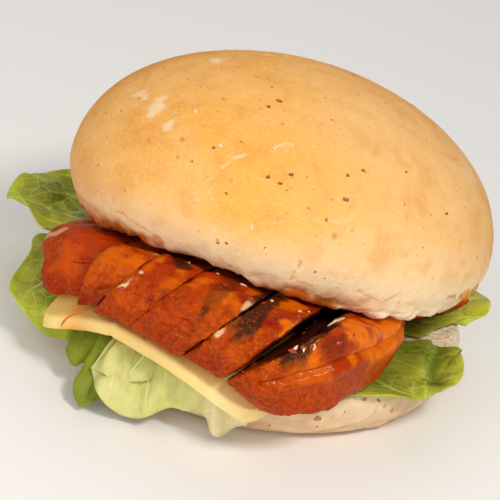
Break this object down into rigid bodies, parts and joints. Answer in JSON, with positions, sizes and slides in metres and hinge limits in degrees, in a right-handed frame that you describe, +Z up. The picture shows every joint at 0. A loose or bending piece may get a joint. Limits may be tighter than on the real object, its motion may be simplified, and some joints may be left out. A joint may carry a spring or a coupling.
{
  "type": "chicken burger",
  "caption": "Large wheat bap filled with glazed, sliced grilled chicken, a slab of pale cheese and lettuce leaves that stick out round it.",
  "frame": {"origin": "the middle of the heel's flat underside, on the surface that the burger stands on", "axes": "+Z up through the crown, -Y towards the side where the sliced chicken and the cheese stick out, +X to the right as seen from that side"},
  "size_m": [0.1404, 0.1323, 0.0833],
  "materials": {
    "bread_crown": "matt baked crust, golden brown, specked with bran and dusted with flour",
    "bread_heel": "matt pale crust with a rough crumb on the cut side",
    "cheese": "smooth, slightly waxy",
    "chicken": "wet orange-red glaze over grilled meat with dark grill marks",
    "lettuce_green": "satin leaf with paler veins",
    "lettuce_pale": "satin pale inner leaf"
  },
  "bodies": {
    "root": {"heel": "bread_heel", "crown": "bread_crown", "cheese_slice": "cheese", "chicken_slice_1": "chicken", "chicken_slice_2": "chicken", "chicken_slice_3": "chicken", "chicken_slice_4": "chicken", "chicken_slice_5": "chicken", "chicken_slice_6": "chicken", "leaf_left_upper": "lettuce_green", "leaf_left_lower": "lettuce_green", "leaf_right_upper": "lettuce_green", "leaf_right_lower": "lettuce_green", "leaf_pale": "lettuce_pale"}
  },
  "joints": []
}
